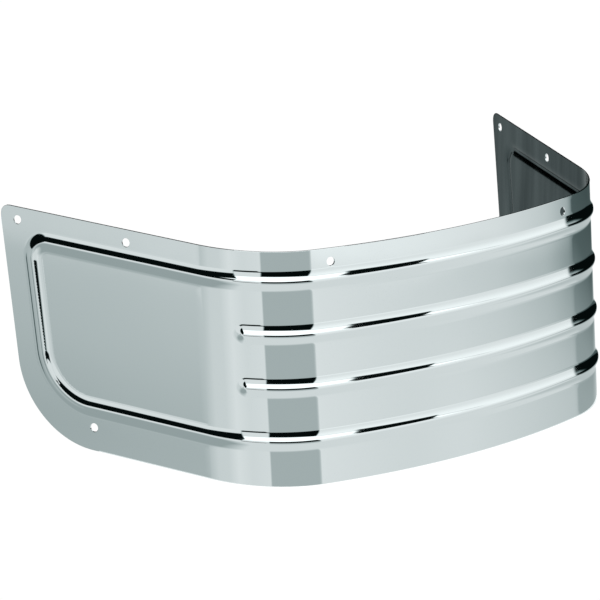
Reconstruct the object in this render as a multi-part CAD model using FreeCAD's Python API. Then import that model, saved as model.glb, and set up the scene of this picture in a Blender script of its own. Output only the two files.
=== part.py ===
import FreeCAD, Part
import os
from math import cos, degrees, radians, sin, tan
from FreeCAD import Vector

# Fender skirt pressed from one sheet of steel: a bowed front with large round corners, two flat wings
# that open outward, four horizontal beads and eight screw holes. The front faces -Y, the wings run to +Y.
# The wall is first built upright on its plan line and then leaned, so that its foot stands forward.

# Sheet and overall form, in millimetres and degrees
HEIGHT = 110.0              # bottom edge to top edge
SHEET = 0.8                 # thickness of the steel
FRONT_RADIUS = 404.0        # slow bow of the front, outer face
FRONT_HALF_ANGLE = 12.1     # half of the turn that the bow makes
CORNER_RADIUS = 56.0        # outer face
WING_FLARE = 20.4           # each wing opens this much from straight back
WING_LENGTH = 108.0         # flat wing, corner to rear edge, along the top
REAR_EDGE_LEAN = 4.0        # the wing's rear edge comes forward towards the bottom
TOP_REAR_ROUND = 5.0        # radius of the wing's upper rear corner
LOW_REAR_ROUND = 39.0       # radius of the wing's lower rear corner
FOOT_FORWARD = 16.8         # the bottom edge stands this far in front of the top edge

# Beads: narrow round crown and broad filleted root
BEAD_HEIGHT = 1.4           # crest above the outer face
CROWN_RADIUS = 2.4          # outer face of the crown
ROOT_RADIUS = 8.0           # outer face of the root
TOP_BEAD_DROP = 14.2        # crest of the framing bead's upper run, below the top edge
LOW_BEAD = 21.0             # crest of the framing bead's lower run, above the bottom edge
REAR_BEAD_MARGIN = 15.5     # rear edge to the crest of the framing bead
FRAME_TOP_ROUND = 9.0       # upper bend of the framing bead, at its crest
FRAME_LOW_ROUND = 24.0      # lower bend of the framing bead, at its crest
SHORT_RIBS = 2              # beads between the framing runs, which end on the corners
SHORT_RIB_END = 36.0        # turn round the corner at which a short rib's round end is centred

# Screw holes
HOLE_DIAMETER = 4.2
TOP_HOLE_OFFSET = 8.0       # centres above the crest of the framing bead's upper run
REAR_HOLE_INSET = 9.6       # from the wing's rear corner, along the wing
MIDDLE_HOLE_INSET = 69.5    # from the wing's rear corner, along the wing
LOW_HOLE_INSET = 45.5       # from the wing's rear corner, along the wing
LOW_HOLE_OFFSET = 9.8       # centres below the crest of the framing bead's lower run
FRONT_HOLE_SPACING = 152.0  # between the two holes in the front

# Working room round the sheet for the blocks that form it
BACKING = 12.0
OVERRUN = 6.0

FRONT_TURN = radians(FRONT_HALF_ANGLE)
WING_TURN = radians(90.0 - WING_FLARE)
BEAD_DEPTH = CROWN_RADIUS - BEAD_HEIGHT
TOP_BEAD = HEIGHT - TOP_BEAD_DROP
UP = Vector(0, 0, 1)


def heading(turn):
    """Direction of the plan line after it has turned from +X."""
    return Vector(cos(turn), sin(turn), 0)


def outward(turn):
    """Direction out of the wall, square to the plan line."""
    return Vector(sin(turn), -cos(turn), 0)


FRONT_CENTRE = Vector(0, FRONT_RADIUS, 0)
CORNER_CENTRE = FRONT_CENTRE + outward(FRONT_TURN) * (FRONT_RADIUS - CORNER_RADIUS)
WING_START = CORNER_CENTRE + outward(WING_TURN) * CORNER_RADIUS


def plan_arc(centre, radius, first_turn, last_turn, height):
    """Level arc round a plan centre, between two turns of the plan line."""
    turns = (first_turn, (first_turn + last_turn) / 2, last_turn)
    points = [centre + outward(turn) * radius + UP * height for turn in turns]
    return Part.Arc(*points).toShape()


def front_and_corner(depth, height, first_turn, last_turn):
    """Level run at a depth inside the outer face, from the front to a turn on the corner."""
    front = plan_arc(FRONT_CENTRE, FRONT_RADIUS - depth, first_turn, FRONT_TURN, height)
    corner = plan_arc(CORNER_CENTRE, CORNER_RADIUS - depth, FRONT_TURN, last_turn, height)
    return [front, corner]


def on_wing(along, height, depth):
    """Point of the right wing, measured from the corner along the wing and up from the bottom edge."""
    return WING_START + heading(WING_TURN) * along - outward(WING_TURN) * depth + UP * height


def rear_edge(height):
    """Place of the rear edge along the wing, at a height."""
    return WING_LENGTH - (HEIGHT - height) * tan(radians(REAR_EDGE_LEAN))


def line(first, last):
    return Part.LineSegment(first, last).toShape()


def rounded_path(points, radii):
    """Straight runs through the points, with each inner point rounded by an arc of its radius."""
    edges = []
    start = points[0]
    for before, corner, after, radius in zip(points, points[1:], points[2:], radii):
        to_before = (before - corner).normalize()
        to_after = (after - corner).normalize()
        half_angle = to_before.getAngle(to_after) / 2
        reach = radius / tan(half_angle)
        middle = (to_before + to_after).normalize() * (radius / sin(half_angle) - radius)
        first = corner + to_before * reach
        last = corner + to_after * reach
        edges.append(line(start, first))
        edges.append(Part.Arc(first, corner + middle, last).toShape())
        start = last
    edges.append(line(start, points[-1]))
    return edges


def wall_block(depth, overrun):
    """Upright right half of the wall, from a depth inside the outer face back to the backing."""
    first_turn = -overrun / FRONT_RADIUS
    back = depth + BACKING
    edges = []
    for level in (depth, back):
        edges += front_and_corner(level, -overrun, first_turn, WING_TURN)
        edges.append(line(on_wing(0, -overrun, level), on_wing(WING_LENGTH + OVERRUN, -overrun, level)))
    outer_front, back_front = edges[0], edges[3]
    outer_wing, back_wing = edges[2], edges[5]
    edges.append(line(outer_front.Vertexes[0].Point, back_front.Vertexes[0].Point))
    edges.append(line(outer_wing.Vertexes[1].Point, back_wing.Vertexes[1].Point))
    plan = Part.Face(Part.Wire(Part.__sortEdges__(edges)))
    return plan.extrude(UP * (HEIGHT + 2 * overrun))


def rod(edge, radius):
    """Round rod along a straight or circular edge."""
    first = edge.FirstParameter
    start = edge.valueAt(first)
    disc = Part.Face(Part.Wire(Part.makeCircle(radius, start, edge.tangentAt(first))))
    if isinstance(edge.Curve, Part.Line):
        return disc.extrude(edge.valueAt(edge.LastParameter) - start)
    turn = degrees(edge.LastParameter - first)
    return disc.revolve(edge.Curve.Center, edge.Curve.Axis, turn)


def framing_bead_path(overrun):
    """Crest line of the bead along the top, round the rear of the wing and back along the bottom."""
    first_turn = -overrun / FRONT_RADIUS
    rear_margin = REAR_BEAD_MARGIN / cos(radians(REAR_EDGE_LEAN))
    runs = [(0, TOP_BEAD), (rear_edge(TOP_BEAD) - rear_margin, TOP_BEAD),
            (rear_edge(LOW_BEAD) - rear_margin, LOW_BEAD), (0, LOW_BEAD)]
    points = [on_wing(along, height, BEAD_DEPTH) for along, height in runs]
    edges = rounded_path(points, [FRAME_TOP_ROUND, FRAME_LOW_ROUND])
    for height in (TOP_BEAD, LOW_BEAD):
        edges += front_and_corner(BEAD_DEPTH, height, first_turn, WING_TURN)
    return edges


def bead_rods(radius, overrun):
    """Rods whose crowns form the framing bead and the short ribs, with round ends on the ribs."""
    rods = [rod(edge, radius) for edge in framing_bead_path(overrun)]
    pitch = (TOP_BEAD - LOW_BEAD) / (SHORT_RIBS + 1)
    end_turn = FRONT_TURN + radians(SHORT_RIB_END)
    for rib in range(SHORT_RIBS):
        height = LOW_BEAD + pitch * (rib + 1)
        run = front_and_corner(BEAD_DEPTH, height, -overrun / FRONT_RADIUS, end_turn)
        rods += [rod(edge, radius) for edge in run]
        rods.append(Part.makeSphere(radius, run[-1].valueAt(run[-1].LastParameter)))
    return rods[0].multiFuse(rods[1:])


def is_bead(face, radius):
    """True for a face of the bead rods."""
    surface = face.Surface
    if isinstance(surface, (Part.Toroid, Part.Sphere)):
        return True
    return isinstance(surface, Part.Cylinder) and abs(surface.Radius - radius) < 1e-6


def root_edges(shape, radius):
    """Edges where the bead rods come out of the wall."""
    edges = []
    for edge in shape.Edges:
        faces = shape.ancestorsOfType(edge, Part.Face)
        beads = [face for face in faces if is_bead(face, radius)]
        walls = [face for face in faces if not is_bead(face, radius)]
        if len(beads) == 1 and len(walls) == 1 and abs(walls[0].normalAt(0, 0).dot(heading(0))) < 0.999:
            edges.append(edge)
    return edges


def skin_block(depth, overrun):
    """Block with the sheet's skin, beads and roots included, at a depth inside the outer face."""
    crown = CROWN_RADIUS - depth
    block = wall_block(depth, overrun).fuse(bead_rods(crown, overrun)).removeSplitter()
    return block.makeFillet(ROOT_RADIUS + depth, root_edges(block, crown))


def rear_trim():
    """Block outside the wing's rear outline."""
    outline = [(0, 0), (rear_edge(0), 0), (WING_LENGTH, HEIGHT), (0, HEIGHT)]
    around = [(0, HEIGHT), (0, HEIGHT + OVERRUN), (WING_LENGTH + 2 * OVERRUN, HEIGHT + OVERRUN),
              (WING_LENGTH + 2 * OVERRUN, -OVERRUN), (0, -OVERRUN), (0, 0)]
    inner_side = [on_wing(along, height, 2 * BACKING) for along, height in outline]
    outer_side = [on_wing(along, height, 2 * BACKING) for along, height in around]
    edges = rounded_path(inner_side, [LOW_REAR_ROUND, TOP_REAR_ROUND])
    edges += [line(first, last) for first, last in zip(outer_side, outer_side[1:])]
    face = Part.Face(Part.Wire(Part.__sortEdges__(edges)))
    return face.extrude(outward(WING_TURN) * 3 * BACKING)


def leaned(point):
    """Where a point of the upright wall comes to lie when the foot is brought forward."""
    return point + Vector(0, FOOT_FORWARD * (point.z / HEIGHT - 1), 0)


def lean(shape):
    """Wall with its foot brought forward; level lines stay level."""
    matrix = FreeCAD.Matrix()
    matrix.A23 = FOOT_FORWARD / HEIGHT
    matrix.A24 = -FOOT_FORWARD
    return shape.transformGeometry(matrix)


def drill(centre, axis):
    """Cutter for a screw hole through the sheet."""
    return Part.makeCylinder(HOLE_DIAMETER / 2, 2 * BACKING, centre - axis * BACKING, axis)


def hole_cutters():
    """Three holes square to each leaned wing, and two along Y in the front."""
    wing_along = heading(WING_TURN)
    wall_up = leaned(UP * HEIGHT) - leaned(Vector(0, 0, 0))
    square_out = wing_along.cross(wall_up).normalize()
    top = TOP_BEAD + TOP_HOLE_OFFSET
    low = LOW_BEAD - LOW_HOLE_OFFSET
    places = [(REAR_HOLE_INSET, top), (MIDDLE_HOLE_INSET, top), (LOW_HOLE_INSET, low)]
    cutters = []
    for inset, height in places:
        cutters.append(drill(leaned(on_wing(WING_LENGTH - inset, height, 0)), square_out))
    across = FRONT_HOLE_SPACING / 2
    front_y = FRONT_RADIUS - (FRONT_RADIUS ** 2 - across ** 2) ** 0.5
    cutters.append(drill(leaned(Vector(across, front_y, top)), Vector(0, 1, 0)))
    mirrored = [cutter.mirror(Vector(0, 0, 0), Vector(1, 0, 0)) for cutter in cutters]
    return cutters + mirrored


half = skin_block(0, 0).cut(skin_block(SHEET, OVERRUN)).cut(rear_trim())
upright = half.fuse(half.mirror(Vector(0, 0, 0), Vector(1, 0, 0))).removeSplitter()
fender_skirt = lean(upright.Solids[0]).cut(hole_cutters()).Solids[0]

# The origin is the middle of the footprint, on the surface that the bottom edge stands on
box = fender_skirt.optimalBoundingBox()
fender_skirt.translate(Vector(0, -box.Center.y, -box.ZMin))

os.makedirs("parts", exist_ok=True)
fender_skirt.exportStep("parts/fender_skirt.step")
print("valid", fender_skirt.isValid(), "volume", round(fender_skirt.Volume, 1))
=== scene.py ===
from math import asin, cos, pi, radians, sin, tan

import bpy
import numpy as np
from mathutils import Matrix, Vector, kdtree
from mathutils.geometry import delaunay_2d_cdt


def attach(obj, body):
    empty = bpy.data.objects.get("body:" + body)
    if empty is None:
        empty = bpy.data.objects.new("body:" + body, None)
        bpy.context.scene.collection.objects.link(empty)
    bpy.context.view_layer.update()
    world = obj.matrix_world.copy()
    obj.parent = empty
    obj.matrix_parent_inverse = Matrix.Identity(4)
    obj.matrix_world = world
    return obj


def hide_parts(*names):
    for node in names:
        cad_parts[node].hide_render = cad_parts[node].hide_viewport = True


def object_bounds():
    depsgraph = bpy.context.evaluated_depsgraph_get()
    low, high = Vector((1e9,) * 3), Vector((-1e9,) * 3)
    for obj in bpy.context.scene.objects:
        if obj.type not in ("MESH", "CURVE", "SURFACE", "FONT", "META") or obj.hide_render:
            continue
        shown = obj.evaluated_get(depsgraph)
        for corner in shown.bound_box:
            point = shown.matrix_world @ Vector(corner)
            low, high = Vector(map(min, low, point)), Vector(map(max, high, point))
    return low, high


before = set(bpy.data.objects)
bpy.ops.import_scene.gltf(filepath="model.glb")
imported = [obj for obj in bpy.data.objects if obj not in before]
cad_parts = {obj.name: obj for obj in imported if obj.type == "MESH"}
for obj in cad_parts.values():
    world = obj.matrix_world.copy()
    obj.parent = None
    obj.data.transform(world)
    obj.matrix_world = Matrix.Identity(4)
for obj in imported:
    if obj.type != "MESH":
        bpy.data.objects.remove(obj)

cad_low, cad_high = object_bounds()


# Fender skirt, the flat blank: one sheet of mild steel, sheared to its outline and pierced with eight
# screw holes before it is formed. Its run is measured from the middle of the front, its rise from the
# bottom edge.
HEIGHT = cad_high.z - cad_low.z
SHEET = 0.0008
EDGE_ROUND = 0.00012
FRONT_RADIUS = 0.404
FRONT_TURN = radians(12.1)
CORNER_RADIUS = 0.056
WING_TURN = radians(69.6)
WING_LENGTH = 0.108
FOOT_FORWARD = 0.0168
REAR_EDGE_LEAN = radians(4.0)
TOP_REAR_ROUND = 0.005
LOW_REAR_ROUND = 0.039
CORNER_START = FRONT_RADIUS * FRONT_TURN
CORNER_END = CORNER_START + CORNER_RADIUS * (WING_TURN - FRONT_TURN)
REAR_END = CORNER_END + WING_LENGTH
OUTLINE_STEP = 0.0015
FEWEST_ARC_STEPS = 6


def rear_edge(rise):
    """Run of the wing's rear edge at a height."""
    return REAR_END - (HEIGHT - rise) * tan(REAR_EDGE_LEAN)


def straight(first, last, step):
    """Points from first up to, but without, last."""
    count = max(1, round((last - first).length / step))
    return [first.lerp(last, index / count) for index in range(count)]


def rounded_loop(start, corners, radii, step):
    """Closed line through the corners, each turned by an arc of its radius."""
    points = []
    here = start
    stops = [start] + corners + [start]
    for before, corner, after, radius in zip(stops, stops[1:], stops[2:], radii):
        back = (before - corner).normalized()
        on = (after - corner).normalized()
        half = back.angle(on) / 2
        first = corner + back * (radius / tan(half))
        centre = corner + (back + on).normalized() * (radius / sin(half))
        points += straight(here, first, step)
        sweep = pi - 2 * half
        count = max(FEWEST_ARC_STEPS, round(radius * sweep / step))
        turns = [Matrix.Rotation(sweep * index / count, 2) for index in range(count + 1)]
        points += [centre + turn @ (first - centre) for turn in turns[:-1]]
        here = centre + turns[-1] @ (first - centre)
    return points + straight(here, start, step)


def mirrored_corners(low, high, low_rise, high_rise):
    """Four corners, anticlockwise, of a frame that is the same on both wings."""
    return [Vector((low, low_rise)), Vector((high, high_rise)),
            Vector((-high, high_rise)), Vector((-low, low_rise))]


outline_corners = mirrored_corners(rear_edge(0), REAR_END, 0, HEIGHT)
outline_rounds = [LOW_REAR_ROUND, TOP_REAR_ROUND, TOP_REAR_ROUND, LOW_REAR_ROUND]
outline = rounded_loop(Vector((0, 0)), outline_corners, outline_rounds, OUTLINE_STEP)

HOLE_RADIUS = 0.0021
HOLE_POINTS = 40
TOP_HOLE_DROP = 0.0062
TOP_HOLE_RISE = HEIGHT - TOP_HOLE_DROP
LOW_HOLE_RISE = 0.0112
REAR_HOLE_INSET = 0.0096
MIDDLE_HOLE_INSET = 0.0695
LOW_HOLE_INSET = 0.0455
WING_HOLES = [(REAR_HOLE_INSET, TOP_HOLE_RISE), (MIDDLE_HOLE_INSET, TOP_HOLE_RISE),
              (LOW_HOLE_INSET, LOW_HOLE_RISE)]
FRONT_HOLE_SPACING = 0.152
FRONT_HOLE_TURN = asin(FRONT_HOLE_SPACING / 2 / FRONT_RADIUS)
WING_SLANT = FOOT_FORWARD / HEIGHT * sin(WING_TURN)
# Each hole is centre run, centre rise, and the stretch and slant that make it round once it is formed
holes = [(REAR_END - inset, rise, 1.0, WING_SLANT) for inset, rise in WING_HOLES]
holes.append((FRONT_RADIUS * FRONT_HOLE_TURN, TOP_HOLE_RISE, 1 / cos(FRONT_HOLE_TURN), 0.0))


def hole_loop(run, rise, stretch, slant, side):
    """Clockwise line round a hole."""
    points = []
    for index in range(HOLE_POINTS):
        angle = -side * 2 * pi * index / HOLE_POINTS
        across = HOLE_RADIUS * (cos(angle) * stretch - sin(angle) * slant)
        points.append(Vector((side * (run + across), rise + HOLE_RADIUS * sin(angle))))
    return points


loops = [outline] + [hole_loop(*hole, side) for hole in holes for side in (1, -1)]


def edge_directions(loop):
    """Directions out of the metal, square to a line that has the metal on its left."""
    ahead = loop[1:] + loop[:1]
    behind = loop[-1:] + loop[:-1]
    along = [(far - near).normalized() for near, far in zip(behind, ahead)]
    return [Vector((direction.y, -direction.x)) for direction in along]


# Fender skirt, the crest lines of the beads on the flat blank: the framing bead, which is one closed line
# round both wings, and the two short ribs between its level runs, which end on the corners.
BEAD_HEIGHT = 0.0014
CROWN_RADIUS = 0.0024
ROOT_RADIUS = 0.0080
TOP_BEAD = 0.0958
LOW_BEAD = 0.0210
REAR_BEAD_INSET = 0.0155
REAR_BEAD_MARGIN = REAR_BEAD_INSET / cos(REAR_EDGE_LEAN)
FRAME_TOP_ROUND = 0.009
FRAME_LOW_ROUND = 0.024
SHORT_RIBS = 2
RIB_END_TURN = radians(36)
RIB_END = CORNER_START + CORNER_RADIUS * RIB_END_TURN
CREST_STEP = 0.0003

bead_low_run = rear_edge(LOW_BEAD) - REAR_BEAD_MARGIN
bead_top_run = rear_edge(TOP_BEAD) - REAR_BEAD_MARGIN
bead_corners = mirrored_corners(bead_low_run, bead_top_run, LOW_BEAD, TOP_BEAD)
bead_rounds = [FRAME_LOW_ROUND, FRAME_TOP_ROUND, FRAME_TOP_ROUND, FRAME_LOW_ROUND]
framing_bead = rounded_loop(Vector((0, LOW_BEAD)), bead_corners, bead_rounds, CREST_STEP)
crest_points = list(framing_bead)
crest_edges = [(index, (index + 1) % len(framing_bead)) for index in range(len(framing_bead))]
for rib in range(SHORT_RIBS):
    rise = LOW_BEAD + (TOP_BEAD - LOW_BEAD) * (rib + 1) / (SHORT_RIBS + 1)
    line = straight(Vector((-RIB_END, rise)), Vector((RIB_END, rise)), CREST_STEP)
    line.append(Vector((RIB_END, rise)))
    first = len(crest_points)
    crest_points += line
    crest_edges += [(first + index, first + index + 1) for index in range(len(line) - 1)]

crest_mesh = bpy.data.meshes.new("crest_lines")
crest_mesh.from_pydata([point.to_3d() for point in crest_points], crest_edges, [])
crest_lines = bpy.data.objects.new("crest_lines", crest_mesh)
bpy.context.scene.collection.objects.link(crest_lines)

# Fender skirt, the blank's mesh: small triangles where a bead will be pressed and larger ones on the plain
# metal, on both faces of the sheet, with the sheared edge between them rounded as deburring leaves it.
FINE = 0.0008
# Height of an even triangle, as a share of its side
ROW_SHARE = 0.866
ROW_STEP = FINE * ROW_SHARE
COARSE_EVERY = 4
BEAD_REACH = 0.0060
HOLE_CLEARANCE = HOLE_RADIUS * 1.2
SAME_POINT = 1e-9


def near_tree(points):
    """Search tree for the nearest of some flat points."""
    tree = kdtree.KDTree(len(points))
    for index, point in enumerate(points):
        tree.insert(point.to_3d(), index)
    tree.balance()
    return tree


def inside_outline(places):
    """Which places lie inside the outline, by counting the edges that a ray crosses."""
    inside = np.zeros(len(places), bool)
    for first, last in zip(outline, outline[1:] + outline[:1]):
        spans = (first.y > places[:, 1]) != (last.y > places[:, 1])
        if first.y != last.y:
            reach = first.x + (places[:, 1] - first.y) * (last.x - first.x) / (last.y - first.y)
            inside ^= spans & (places[:, 0] < reach)
    return inside


edge_outs = [edge_directions(loop) for loop in loops]
skin_loops = []
for loop, outs in zip(loops, edge_outs):
    skin_loops.append([point - out * EDGE_ROUND for point, out in zip(loop, outs)])
flat_points = [point for loop in skin_loops for point in loop]
flat_edges = []
loop_of_point = []
for number, loop in enumerate(skin_loops):
    first = len(loop_of_point)
    flat_edges += [(first + index, first + (index + 1) % len(loop)) for index in range(len(loop))]
    loop_of_point += [number] * len(loop)

crest_tree = near_tree(crest_points)
edge_tree = near_tree(flat_points)
columns = int(REAR_END / FINE) + 1
grid = []
for row in range(1, int(HEIGHT / ROW_STEP)):
    for column in range(-columns, columns + 1):
        place = Vector(((column + 0.5 * (row % 2)) * FINE, row * ROW_STEP, 0))
        coarse = row % COARSE_EVERY == 0 and column % COARSE_EVERY == 0
        if coarse or crest_tree.find(place)[2] < BEAD_REACH:
            grid.append(place)
held = inside_outline(np.array(grid)[:, :2])
hole_centres = [Vector((side * hole[0], hole[1], 0)) for hole in holes for side in (1, -1)]
for place, kept in zip(grid, held):
    in_hole = any((place - centre).length < HOLE_CLEARANCE for centre in hole_centres)
    if kept and not in_hole and edge_tree.find(place)[2] > FINE:
        flat_points.append(place.to_2d())

INSIDE_CONSTRAINTS = 1
cut = delaunay_2d_cdt(flat_points, flat_edges, [], INSIDE_CONSTRAINTS, SAME_POINT)
places, triangles, origins = cut[0], cut[2], cut[3]
new_index = {old: new for new, olds in enumerate(origins) for old in olds}
loop_here = {new_index[old]: number for old, number in enumerate(loop_of_point)}


def spans_hole(triangle):
    """True for a triangle that closes a pierced hole."""
    numbers = {loop_here.get(index, 0) for index in triangle}
    return len(numbers) == 1 and 0 not in numbers


triangles = [triangle for triangle in triangles if not spans_hole(triangle)]

count = len(places)
blank_points = [(place.x, place.y, 0.0) for place in places]
blank_points += [(place.x, place.y, -SHEET) for place in places]
blank_faces = [tuple(triangle) for triangle in triangles]
blank_faces += [tuple(index + count for index in reversed(triangle)) for triangle in triangles]
sides = [1] * len(triangles) + [-1] * len(triangles)
# Rings round the edge between the two faces: share of the rounding that is left inside, and depth
HALF_WAY = 0.29
EDGE_RINGS = [(HALF_WAY, EDGE_ROUND * HALF_WAY), (0.0, EDGE_ROUND), (0.0, SHEET - EDGE_ROUND),
              (HALF_WAY, SHEET - EDGE_ROUND * HALF_WAY)]
first = 0
for loop, outs in zip(loops, edge_outs):
    rings = [[new_index[first + index] for index in range(len(loop))]]
    for inset, depth in EDGE_RINGS:
        rings.append(list(range(len(blank_points), len(blank_points) + len(loop))))
        for point, out in zip(loop, outs):
            place = point - out * EDGE_ROUND * inset
            blank_points.append((place.x, place.y, -depth))
    rings.append([index + count for index in rings[0]])
    for ring, deeper in zip(rings, rings[1:]):
        for here in range(len(loop)):
            after = (here + 1) % len(loop)
            blank_faces.append((ring[after], ring[here], deeper[here], deeper[after]))
            sides.append(0)
    first += len(loop)

blank = bpy.data.meshes.new("skirt_sheet")
blank.from_pydata(blank_points, [], blank_faces)
blank.attributes.new("side", "INT", "FACE").data.foreach_set("value", sides)
skirt = bpy.data.objects.new("skirt_sheet", blank)
bpy.context.scene.collection.objects.link(skirt)


# Fender skirt, the bright plating: nickel and chrome on buffed steel, a cool mirror with the faint waviness
# of pressed sheet and a thin, patchy haze that the buffing wheel leaves.
BRIGHT_METAL = (0.655, 0.715, 0.72, 1)


def add_node(tree, kind, settings=(), values=()):
    """New node with its settings and the values of its named inputs."""
    made = tree.nodes.new(kind)
    for name, value in dict(settings).items():
        setattr(made, name, value)
    for name, value in dict(values).items():
        made.inputs[name].default_value = value
    return made


def new_tree(name, kind, inputs, outputs):
    """Node tree with named sockets, and the sockets of its two end nodes."""
    tree = bpy.data.node_groups.new(name, kind)
    for label, socket in inputs:
        tree.interface.new_socket(label, in_out="INPUT", socket_type="NodeSocket" + socket)
    for label, socket in outputs:
        tree.interface.new_socket(label, in_out="OUTPUT", socket_type="NodeSocket" + socket)
    return tree, tree.nodes.new("NodeGroupInput").outputs, tree.nodes.new("NodeGroupOutput").inputs


def new_finish(name):
    """Metallic material, its node tree and its shader's inputs."""
    material = bpy.data.materials.new(name)
    material.use_nodes = True
    inputs = material.node_tree.nodes["Principled BSDF"].inputs
    inputs["Metallic"].default_value = 1.0
    return material, material.node_tree, inputs


# Mottle, which both finishes use: patchy noise over the object's own coordinates, stretched along its axes.
# It comes out as it is, as a share from 0 to 1, and as a value between two given ones.
NOISE_ROUGHNESS = 0.55
NOISE_SPAN = {"From Min": 0.3, "From Max": 0.7}
mottle, given, result = new_tree(
    "plating_mottle", "ShaderNodeTree",
    [("Stretch", "Vector"), ("Scale", "Float"), ("Detail", "Float"), ("Low", "Float"), ("High", "Float")],
    [("Noise", "Float"), ("Share", "Float"), ("Value", "Float")])
place = add_node(mottle, "ShaderNodeTexCoord")
mapping = add_node(mottle, "ShaderNodeMapping")
noise = add_node(mottle, "ShaderNodeTexNoise", values={"Roughness": NOISE_ROUGHNESS})
share = add_node(mottle, "ShaderNodeMapRange", values=NOISE_SPAN)
ranged = add_node(mottle, "ShaderNodeMapRange", values=NOISE_SPAN)
mottle.links.new(place.outputs["Object"], mapping.inputs["Vector"])
mottle.links.new(given["Stretch"], mapping.inputs["Scale"])
mottle.links.new(mapping.outputs["Vector"], noise.inputs["Vector"])
mottle.links.new(given["Scale"], noise.inputs["Scale"])
mottle.links.new(given["Detail"], noise.inputs["Detail"])
mottle.links.new(given["Low"], ranged.inputs["To Min"])
mottle.links.new(given["High"], ranged.inputs["To Max"])
for socket in (share.inputs["Value"], ranged.inputs["Value"], result["Noise"]):
    mottle.links.new(noise.outputs["Fac"], socket)
mottle.links.new(share.outputs["Result"], result["Share"])
mottle.links.new(ranged.outputs["Result"], result["Value"])


def add_mottle(tree, scale, stretch, detail, low=0.0, high=1.0):
    """Outputs of the mottle, placed in a finish with its own values."""
    values = {"Scale": scale, "Stretch": stretch, "Detail": detail, "Low": low, "High": high}
    return add_node(tree, "ShaderNodeGroup", {"node_tree": mottle}, values).outputs


bright_plating, tree, shader = new_finish("bright_plating")
shader["Base Color"].default_value = BRIGHT_METAL
haze = add_mottle(tree, scale=26, stretch=(1, 1, 1), detail=5, low=0.016, high=0.05)
tree.links.new(haze["Value"], shader["Roughness"])
wave = add_mottle(tree, scale=9, stretch=(1, 1, 1.6), detail=1)
waviness = add_node(tree, "ShaderNodeBump", values={"Strength": 0.25, "Distance": 0.0004})
tree.links.new(wave["Noise"], waviness.inputs["Height"])
tree.links.new(waviness.outputs["Normal"], shader["Normal"])

# Fender skirt, the inner side: the same plating, thin and unpolished where the buffing wheel does not
# reach, so it is darker and dull, with upright streaks from the plating bath.
DULL_DARK = (0.045, 0.058, 0.060, 1)
DULL_LIGHT = (0.125, 0.150, 0.153, 1)
DULL_GLANCE = (0.60, 0.62, 0.62, 1)
dull_plating, tree, shader = new_finish("dull_plating")
shader["Specular Tint"].default_value = DULL_GLANCE
streak = add_mottle(tree, scale=60, stretch=(1, 1, 0.06), detail=4, low=0.10, high=0.20)
tree.links.new(streak["Value"], shader["Roughness"])
tint = add_node(tree, "ShaderNodeMix", {"data_type": "RGBA"})
tree.links.new(streak["Share"], tint.inputs["Factor"])
dark, light = [socket for socket in tint.inputs if socket.type == "RGBA"]
dark.default_value = DULL_DARK
light.default_value = DULL_LIGHT
tinted = next(socket for socket in tint.outputs if socket.type == "RGBA")
tree.links.new(tinted, shader["Base Color"])


# Fender skirt, the forming: the beads are pressed into the blank, and the wall is then rolled to its plan
# line of slow bow, round corner and flat wing. The rolls lean, so that the foot stands forward of the top.
FORM_SIZES = {
    "Front radius": FRONT_RADIUS, "Front turn": FRONT_TURN, "Corner radius": CORNER_RADIUS,
    "Wing turn": WING_TURN, "Height": HEIGHT, "Foot forward": FOOT_FORWARD, "Bead height": BEAD_HEIGHT,
    "Crown radius": CROWN_RADIUS, "Root radius": ROOT_RADIUS, "Front set": cad_low.y + FOOT_FORWARD}
size_sockets = [(label, "Float") for label in FORM_SIZES]
formed, size, result = new_tree(
    "formed_place", "GeometryNodeTree",
    [("Crest lines", "Geometry"), ("Flat place", "Vector")] + size_sockets, [("Place", "Vector")])


def node_maths(tree, kind, operation, first, second):
    """Result of one sum in a tree, on sockets or fixed values."""
    made = add_node(tree, kind, {"operation": operation})
    for value, socket in zip((first, second), made.inputs):
        if isinstance(value, bpy.types.NodeSocket):
            tree.links.new(value, socket)
        else:
            socket.default_value = value
    return made.outputs[0]


def maths(operation, first, second=0.0):
    """Result of one sum in the tree of the formed place."""
    return node_maths(formed, "ShaderNodeMath", operation, first, second)


def plus(first, second):
    """Sum of two lengths or turns."""
    return maths("ADD", first, second)


def minus(first, second):
    """First without second."""
    return maths("SUBTRACT", first, second)


def times(first, second):
    """Product of two values."""
    return maths("MULTIPLY", first, second)


def leg(longest, other):
    """Other leg of a right triangle whose longest side and one leg are known."""
    return maths("SQRT", maths("MAXIMUM", minus(times(longest, longest), times(other, other)), 0.0))


flat = add_node(formed, "ShaderNodeSeparateXYZ")
formed.links.new(size["Flat place"], flat.inputs[0])
run, rise, raised = flat.outputs
depth = times(raised, -1.0)
on_face = add_node(formed, "ShaderNodeCombineXYZ")
formed.links.new(run, on_face.inputs["X"])
formed.links.new(rise, on_face.inputs["Y"])
nearest = add_node(formed, "GeometryNodeProximity", {"target_element": "EDGES"})
formed.links.new(size["Crest lines"], nearest.inputs["Geometry"])
formed.links.new(on_face.outputs[0], nearest.inputs["Sample Position"])
gap = nearest.outputs["Distance"]

# Section of a bead at a depth in the sheet: a round crown, then a round root that ends on the plain face
crown = minus(size["Crown radius"], depth)
root = plus(size["Root radius"], depth)
both = plus(size["Crown radius"], size["Root radius"])
crown_centre = minus(size["Crown radius"], size["Bead height"])
half_width = leg(both, plus(crown_centre, size["Root radius"]))
crown_lift = minus(leg(crown, gap), crown_centre)
root_lift = minus(size["Root radius"], leg(root, maths("MAXIMUM", minus(half_width, gap), 0.0)))
on_crown = maths("LESS_THAN", gap, times(half_width, maths("DIVIDE", crown, both)))
lift = plus(times(on_crown, crown_lift), times(minus(1.0, on_crown), root_lift))

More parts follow.
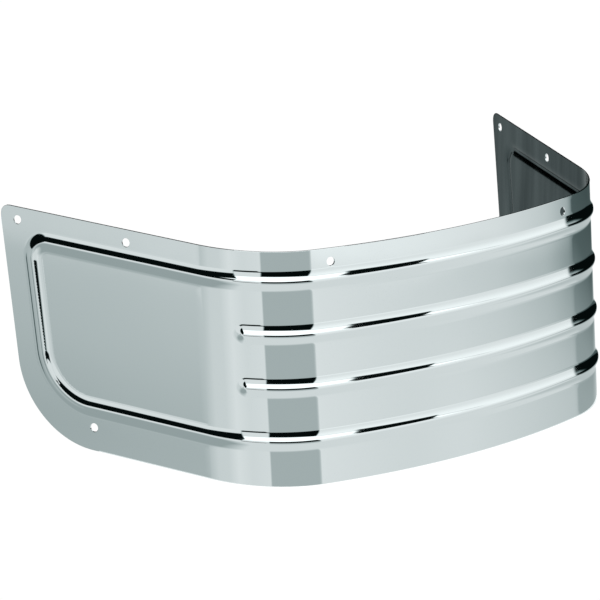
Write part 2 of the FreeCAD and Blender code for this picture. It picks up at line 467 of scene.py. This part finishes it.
# Plan line: turn of the bow, further turn of the corner and what is left of the run on the wing
span = maths("ABSOLUTE", run)
bow_run = times(size["Front radius"], size["Front turn"])
corner_turn = minus(size["Wing turn"], size["Front turn"])
bow = maths("DIVIDE", maths("MINIMUM", span, bow_run), size["Front radius"])
past_bow = maths("MAXIMUM", minus(span, bow_run), 0.0)
turn = plus(bow, maths("MINIMUM", maths("DIVIDE", past_bow, size["Corner radius"]), corner_turn))
on_wing = maths("MAXIMUM", minus(past_bow, times(size["Corner radius"], corner_turn)), 0.0)
sin_bow = maths("SINE", bow)
cos_bow = maths("COSINE", bow)
sin_turn = maths("SINE", turn)
cos_turn = maths("COSINE", turn)
bow_across = times(size["Front radius"], sin_bow)
corner_across = times(size["Corner radius"], minus(sin_turn, sin_bow))
wing_across = plus(times(on_wing, cos_turn), times(lift, sin_turn))
across = plus(plus(bow_across, corner_across), wing_across)
bow_back = times(size["Front radius"], minus(1.0, cos_bow))
corner_back = times(size["Corner radius"], minus(cos_bow, cos_turn))
wing_back = minus(times(on_wing, sin_turn), times(lift, cos_turn))
back = plus(plus(bow_back, corner_back), wing_back)
lean = times(size["Foot forward"], minus(maths("DIVIDE", rise, size["Height"]), 1.0))
place = add_node(formed, "ShaderNodeCombineXYZ")
formed.links.new(times(maths("SIGN", run), across), place.inputs["X"])
formed.links.new(plus(plus(back, lean), size["Front set"]), place.inputs["Y"])
formed.links.new(rise, place.inputs["Z"])
formed.links.new(place.outputs[0], result["Place"])

# The same forming is worked out at each point and at four points close by, which give the face's direction
CLOSE_BY = 0.00004
finishes = [("Bright plating", "Material"), ("Dull plating", "Material")]
press, given, result = new_tree(
    "press_and_roll", "GeometryNodeTree",
    [("Blank", "Geometry"), ("Crest lines", "Object")] + size_sockets + finishes, [("Sheet", "Geometry")])
position = add_node(press, "GeometryNodeInputPosition")
lines = add_node(press, "GeometryNodeObjectInfo")
press.links.new(given["Crest lines"], lines.inputs["Object"])


def vector_maths(operation, first, second):
    """Result of one vector sum in the tree of pressing and rolling."""
    return node_maths(press, "ShaderNodeVectorMath", operation, first, second)


def formed_at(offset):
    """Formed place of the blank's point, moved by a little on the flat."""
    forming = add_node(press, "GeometryNodeGroup", {"node_tree": formed})
    press.links.new(lines.outputs["Geometry"], forming.inputs["Crest lines"])
    press.links.new(vector_maths("ADD", position.outputs[0], offset), forming.inputs["Flat place"])
    for label in FORM_SIZES:
        press.links.new(given[label], forming.inputs[label])
    return forming.outputs["Place"]


here = formed_at((0, 0, 0))
along = vector_maths("SUBTRACT", formed_at((CLOSE_BY, 0, 0)), formed_at((-CLOSE_BY, 0, 0)))
upward = vector_maths("SUBTRACT", formed_at((0, CLOSE_BY, 0)), formed_at((0, -CLOSE_BY, 0)))
facing = vector_maths("CROSS_PRODUCT", along, upward)
store = add_node(press, "GeometryNodeStoreNamedAttribute", {"data_type": "FLOAT_VECTOR", "domain": "POINT"},
                 {"Name": "facing"})
press.links.new(given["Blank"], store.inputs["Geometry"])
press.links.new(facing, store.inputs["Value"])
shape = add_node(press, "GeometryNodeSetPosition")
press.links.new(store.outputs["Geometry"], shape.inputs["Geometry"])
press.links.new(here, shape.inputs["Position"])
realize = add_node(press, "GeometryNodeRealizeInstances")
press.links.new(shape.outputs["Geometry"], realize.inputs["Geometry"])
side = add_node(press, "GeometryNodeInputNamedAttribute", {"data_type": "INT"}, {"Name": "side"})
inner = add_node(press, "FunctionNodeCompare", {"data_type": "INT", "operation": "LESS_THAN"})
press.links.new(side.outputs["Attribute"], inner.inputs[2])
plate = add_node(press, "GeometryNodeSetMaterial")
press.links.new(realize.outputs["Geometry"], plate.inputs["Geometry"])
press.links.new(given["Bright plating"], plate.inputs["Material"])
plate_inner = add_node(press, "GeometryNodeSetMaterial")
press.links.new(plate.outputs["Geometry"], plate_inner.inputs["Geometry"])
press.links.new(inner.outputs["Result"], plate_inner.inputs["Selection"])
press.links.new(given["Dull plating"], plate_inner.inputs["Material"])
press.links.new(plate_inner.outputs["Geometry"], result["Sheet"])

forming = skirt.modifiers.new("press_and_roll", "NODES")
forming.node_group = press
settings = {**FORM_SIZES, "Crest lines": crest_lines, "Bright plating": bright_plating,
            "Dull plating": dull_plating}
for item in press.interface.items_tree:
    if item.in_out == "INPUT" and item.name in settings:
        forming[item.identifier] = settings[item.name]
sheet = bpy.data.meshes.new_from_object(skirt.evaluated_get(bpy.context.evaluated_depsgraph_get()))
skirt.modifiers.clear()
skirt.data = sheet
bpy.data.objects.remove(crest_lines)

# Faces of the sheet shade by the true direction of the formed face, and its edge by its own triangles
SHORTEST = 1e-20
facings = np.zeros(len(sheet.vertices) * 3, np.float32)
sheet.attributes["facing"].data.foreach_get("vector", facings)
facings = facings.reshape(-1, 3)
facings /= np.maximum(np.linalg.norm(facings, axis=1, keepdims=True), SHORTEST)
corner_points = np.zeros(len(sheet.loops), np.int32)
sheet.loops.foreach_get("vertex_index", corner_points)
corner_counts = np.zeros(len(sheet.polygons), np.int32)
sheet.polygons.foreach_get("loop_total", corner_counts)
face_sides = np.zeros(len(sheet.polygons), np.int32)
sheet.attributes["side"].data.foreach_get("value", face_sides)
sheet.polygons.foreach_set("use_smooth", face_sides != 0)
sheet.normals_split_custom_set(facings[corner_points] * np.repeat(face_sides, corner_counts)[:, None])
sheet.attributes.remove(sheet.attributes["facing"])
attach(skirt, "root")
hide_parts("fender_skirt")


# Floor: a board of white acrylic, cut to the line of the skirt's foot with a narrow margin and lit from
# below, so that the shadow on it is faint.
FLOOR_MARGIN = 0.0015
FLOOR_POINTS = 60
ACRYLIC_COLOUR = (0.25, 0.25, 0.25, 1)
ACRYLIC_ROUGHNESS = 0.8
ACRYLIC_LIGHT = (1, 1, 1, 1)
ACRYLIC_GLOW = 0.88


def beside_foot(run):
    """Place on the floor, a margin outside the skirt's foot, at a run from the middle of the front."""
    bow = min(run, CORNER_START) / FRONT_RADIUS
    turn = bow + min(max(run - CORNER_START, 0) / CORNER_RADIUS, WING_TURN - FRONT_TURN)
    on_wing = max(run - CORNER_END, 0)
    across = FRONT_RADIUS * sin(bow) + CORNER_RADIUS * (sin(turn) - sin(bow)) + on_wing * cos(turn)
    back = FRONT_RADIUS * (1 - cos(bow)) + CORNER_RADIUS * (cos(bow) - cos(turn)) + on_wing * sin(turn)
    return Vector((across + FLOOR_MARGIN * sin(turn), cad_low.y + back - FLOOR_MARGIN * cos(turn)))


floor_end = rear_edge(0) - LOW_REAR_ROUND
right_line = [beside_foot(floor_end * index / FLOOR_POINTS) for index in range(FLOOR_POINTS + 1)]
left_line = [Vector((-point.x, point.y)) for point in reversed(right_line[1:])]
floor_line = left_line + right_line
floor_mesh = bpy.data.meshes.new("floor")
floor_mesh.from_pydata([point.to_3d() for point in floor_line], [], [tuple(range(len(floor_line)))])
floor = bpy.data.objects.new("floor", floor_mesh)
bpy.context.scene.collection.objects.link(floor)
acrylic = bpy.data.materials.new("white_acrylic")
acrylic.use_nodes = True
acrylic_shader = acrylic.node_tree.nodes["Principled BSDF"].inputs
acrylic_shader["Base Color"].default_value = ACRYLIC_COLOUR
acrylic_shader["Roughness"].default_value = ACRYLIC_ROUGHNESS
acrylic_shader["Specular IOR Level"].default_value = 0.0
acrylic_shader["Emission Color"].default_value = ACRYLIC_LIGHT
acrylic_shader["Emission Strength"].default_value = ACRYLIC_GLOW
floor_mesh.materials.append(acrylic)


# Studio: a white surround below the horizon, a dark room above it and a large soft light overhead.
# Directions are azimuths from the front, towards +X, and elevations above the horizon, in degrees.
DEGREES = 180 / pi
WHITE = 1.02
DARK = 0.004
BRIGHTEST = 2.0
studio = bpy.data.worlds.new("studio")
studio.use_nodes = True
bpy.context.scene.world = studio
surround = studio.node_tree
surround.nodes.clear()


def level(operation, first, second=0.0):
    """Result of one sum in the surround's tree."""
    return node_maths(surround, "ShaderNodeMath", operation, first, second)


look = add_node(surround, "ShaderNodeTexCoord")
parts = add_node(surround, "ShaderNodeSeparateXYZ")
surround.links.new(look.outputs["Generated"], parts.inputs[0])
to_right, to_rear, to_top = parts.outputs
to_front = level("MULTIPLY", to_rear, -1.0)
azimuth = level("MULTIPLY", level("ARCTAN2", to_right, to_front), DEGREES)
elevation = level("MULTIPLY", level("ARCSINE", to_top), DEGREES)


def ramp(value, edge):
    """Soft step from 0 at an edge's first value to 1 at its second."""
    made = add_node(surround, "ShaderNodeMapRange", {"interpolation_type": "SMOOTHSTEP"},
                    {"From Min": edge[0], "From Max": edge[1]})
    surround.links.new(value, made.inputs["Value"])
    return made.outputs["Result"]


def band(value, rising, falling):
    """Mask that rises over one soft edge and falls over another."""
    return level("MULTIPLY", ramp(value, rising), ramp(value, falling))


def zone(azimuths, elevations, soft):
    """Mask of a soft-edged field of directions."""
    bands = []
    for value, (low, high) in ((azimuth, azimuths), (elevation, elevations)):
        bands.append(band(value, rising=(low - soft, low + soft), falling=(high + soft, high - soft)))
    return level("MULTIPLY", *bands)


def over_line(slope, start, end=180.0):
    """Elevation above a line that meets the horizon at start, falls to the right and is level past end."""
    along_line = level("SUBTRACT", level("MINIMUM", azimuth, end), start)
    return level("ADD", elevation, level("MULTIPLY", along_line, slope))


def blend(under, over, mask):
    """One brightness laid over another where the mask is 1."""
    return level("ADD", under, level("MULTIPLY", mask, level("SUBTRACT", over, under)))


def curve(value, stops):
    """Brightness that follows straight lines between stops of a value."""
    low, high = stops[0][0], stops[-1][0]
    share = add_node(surround, "ShaderNodeMapRange", values={"From Min": low, "From Max": high})
    surround.links.new(value, share.inputs["Value"])
    shades = add_node(surround, "ShaderNodeValToRGB")
    steps = shades.color_ramp.elements
    places = [(place - low) / (high - low) for place, shade in stops]
    greys = [shade / BRIGHTEST for place, shade in stops]
    for place in places[1:-1]:
        steps.new(place)
    for step, place, grey in zip(steps, places, greys):
        step.position = place
        step.color = (grey, grey, grey, 1)
    surround.links.new(share.outputs["Result"], shades.inputs["Fac"])
    return level("MULTIPLY", shades.outputs["Color"], BRIGHTEST)


# Low walls by azimuth: pale behind the skirt, a grey wall beside its left wing, a light wall, the gap
# behind the camera and a second light wall that fades towards the right
walls = curve(azimuth, [
    (-180, 0.70), (-125, 0.62), (-101, 0.63), (-98.5, 0.69), (-87, 0.86), (-76, 0.87), (-66, 1.0),
    (-53, 0.93), (-36.4, 0.97), (-35.4, 0.58), (12.4, 0.58), (13.4, WHITE), (30, 0.93), (50, 0.79),
    (61, 0.59), (67.5, 0.30), (120, 0.48), (130, WHITE), (152, WHITE), (168, 0.72), (180, 0.70)])
ground = curve(azimuth, [
    (-180, 0.72), (-130, 0.48), (-85, 0.48), (-60, 0.93), (66, 0.94), (80, 0.70), (122, 0.66),
    (130, WHITE), (152, WHITE), (168, 0.74), (180, 0.72)])
# The grey wall has a darker band and a paler head, which the left wing mirrors
grey_shade = curve(over_line(slope=0.13, start=-99.5), [
    (-18, 1.0), (-15, 0.85), (-13.5, 1.0), (-12.4, 1.07), (-12.1, 1.30), (-11, 1.30)])
grey_side = band(azimuth, rising=(-108.0, -104.0), falling=(-94.5, -98.2))
walls = blend(walls, level("MULTIPLY", walls, grey_shade), grey_side)
# The lower half of the second light wall is lighter, and the bowed front mirrors each level of the wall
# as a sloping line
over_wall = over_line(slope=0.12, start=50.0)
low_wall = curve(azimuth, [(20, 0.97), (42, 0.95), (55, 0.85), (66, 0.75), (70, 0.70)])
lower_half = level("MULTIPLY", ramp(azimuth, (26.0, 40.0)), ramp(over_wall, (-5.0, -8.2)))
walls = blend(walls, low_wall, lower_half)
# A paler strip along the head of the second light wall, which the front's top margin mirrors
STRIP_GAIN = 0.21
STRIP_DROP = 5.3
over_strip = level("MAXIMUM", level("ADD", over_wall, STRIP_DROP), over_line(slope=0.077, start=-16.56))
strip = band(azimuth, rising=(12.4, 13.4), falling=(75.0, 70.0))
strip = level("MULTIPLY", strip, ramp(over_strip, (-0.3, 0.3)))
walls = level("ADD", walls, level("MULTIPLY", strip, STRIP_GAIN))
# The right wall's shade falls off along a line that slopes down from the front to the rear
RIGHT_SLOPE = 0.17
RIGHT_START = 67.0
right_wall = curve(over_line(RIGHT_SLOPE, RIGHT_START, end=115.0), [
    (-14, 0.60), (-9.8, 0.50), (-8.8, 0.42), (-8, 0.28), (-7.2, 0.15), (-6, 0.10)])
right_side = band(azimuth, rising=(66.0, 68.5), falling=(128.0, 122.0))
walls = blend(walls, right_wall, right_side)
# The walls pass softly into the ground, and a dark patch stands low on the left, towards the rear
PATCH = 0.12
to_ground = ramp(elevation, (-13.0, -27.0))
to_ground = blend(to_ground, ramp(elevation, (-10.5, -14.5)), ramp(azimuth, (38.0, 48.0)))
to_ground = blend(to_ground, ramp(elevation, (-14.5, -18.5)), right_side)
below = blend(walls, ground, to_ground)
below = blend(below, PATCH, zone((-128, -118), (-24, -14), soft=2.5))
# Above the horizon the room is dark, with a large soft light overhead
OVERHEAD = 1.7
above = blend(DARK, OVERHEAD, ramp(elevation, (29.0, 32.0)))
# Light strips stand to the left and right of the camera
LEFT_STRIP = 1.0
RIGHT_STRIP_FOOT = 1.05
RIGHT_STRIP_HEAD = 1.30
left_side = ramp(azimuth, (-61.0, -63.0))
left_strip = level("MULTIPLY", ramp(elevation, (18.0, 15.0)), ramp(azimuth, (-106.0, -103.0)))
left_strip = blend(DARK, LEFT_STRIP, left_strip)
above = blend(above, left_strip, level("MULTIPLY", left_side, ramp(elevation, (47.0, 44.0))))
above = blend(above, LEFT_STRIP, zone((-62, -36), (5, 31), soft=1.0))
right_strip = blend(RIGHT_STRIP_FOOT, RIGHT_STRIP_HEAD, ramp(elevation, (4.0, 30.0)))
above = blend(above, right_strip, zone((13, 80), (-10, 30), soft=1.0))
# A dark screen with leaning sides hangs before the overhead light, and the beads on the front mirror it as
# black lines
SCREEN_MIDDLE = 34.0
SCREEN_LEAN = 0.45
lean_there = level("MULTIPLY", level("SUBTRACT", elevation, SCREEN_MIDDLE), SCREEN_LEAN)
screen = band(level("SUBTRACT", azimuth, lean_there), rising=(28.6, 29.8), falling=(45.4, 44.6))
screen = level("MULTIPLY", screen, band(elevation, rising=(25.5, 27.5), falling=(61.0, 59.0)))
above = blend(above, DARK, screen)
# The room behind the skirt is dark
behind = level("MAXIMUM", ramp(azimuth, (148.0, 152.0)), ramp(azimuth, (-148.0, -152.0)))
above = blend(above, DARK, level("MULTIPLY", behind, ramp(elevation, (62.0, 58.0))))
# Dark side of the room, which the right corner mirrors; its edge stands across the end of the bowed front
SIDE_HEAD = 1.1
SIDE_RISE = 12.0
beyond_front = level("ADD", level("MULTIPLY", to_right, cos(FRONT_TURN)),
                     level("MULTIPLY", to_rear, sin(FRONT_TURN)))
dark_side = level("MAXIMUM", ramp(beyond_front, (0.795, 0.803)), ramp(azimuth, (84.0, 88.0)))
dark_side = level("MULTIPLY", dark_side, ramp(azimuth, (152.0, 148.0)))
over_side = level("SUBTRACT", elevation, level("MULTIPLY", ramp(azimuth, (100.0, 115.0)), SIDE_RISE))
above = blend(above, blend(DARK, SIDE_HEAD, ramp(over_side, (14.0, 30.0))), dark_side)
# The horizon: level, lower to the left of the camera, and along the right wall's slope on the dark side
HORIZON = 0.5
LEFT_GAP_DROP = 3.3
LEFT_SIDE_DROP = 4.0
DARK_SIDE_DROP = 4.8
over_horizon = level("SUBTRACT", elevation, HORIZON)
left_gap = band(azimuth, rising=(-64.0, -60.0), falling=(-37.0, -40.0))
over_horizon = blend(over_horizon, level("ADD", elevation, LEFT_GAP_DROP), left_gap)
over_horizon = blend(over_horizon, level("ADD", elevation, LEFT_SIDE_DROP), left_side)
over_dark_foot = level("ADD", over_line(RIGHT_SLOPE, RIGHT_START, end=100.0), DARK_SIDE_DROP)
over_horizon = blend(over_horizon, over_dark_foot, dark_side)
brightness = blend(below, above, ramp(over_horizon, (-0.8, 0.8)))
# Shade in the room is a little cool
COOL = 0.15
light_colour = add_node(surround, "ShaderNodeCombineColor")
cool_red = level("MULTIPLY", brightness, level("POWER", level("MINIMUM", brightness, 1.0), COOL))
surround.links.new(cool_red, light_colour.inputs["Red"])
surround.links.new(brightness, light_colour.inputs["Green"])
surround.links.new(brightness, light_colour.inputs["Blue"])
background = add_node(surround, "ShaderNodeBackground")
surround.links.new(light_colour.outputs["Color"], background.inputs["Color"])
surround_out = add_node(surround, "ShaderNodeOutputWorld")
surround.links.new(background.outputs[0], surround_out.inputs["Surface"])


# Camera: a long lens to the left of the front and above it, turned a little about its own axis. It is set
# by its angles and by its distance from the point that it looks at.
VIEW_AZIMUTH = radians(-42.0)
VIEW_ELEVATION = radians(18.04)
VIEW_ROLL = radians(2.99)
VIEW_DISTANCE = 1.6755
VIEW_POINT = Vector((-0.05653, -0.01633, 0.06997))
SENSOR = 36.0
LENS = 210.83
camera_data = bpy.data.cameras.new("camera")
camera_data.sensor_width = SENSOR
camera_data.lens = LENS
camera = bpy.data.objects.new("camera", camera_data)
bpy.context.scene.collection.objects.link(camera)
away = Vector((sin(VIEW_AZIMUTH) * cos(VIEW_ELEVATION), -cos(VIEW_AZIMUTH) * cos(VIEW_ELEVATION),
               sin(VIEW_ELEVATION)))
level_right = Vector((cos(VIEW_AZIMUTH), sin(VIEW_AZIMUTH), 0))
level_up = away.cross(level_right)
right = level_right * cos(VIEW_ROLL) + level_up * sin(VIEW_ROLL)
up = level_up * cos(VIEW_ROLL) - level_right * sin(VIEW_ROLL)
turned = Matrix((right, up, away)).transposed().to_4x4()
camera.matrix_world = Matrix.Translation(VIEW_POINT + away * VIEW_DISTANCE) @ turned
bpy.context.scene.camera = camera
bpy.context.scene.view_settings.view_transform = "Standard"
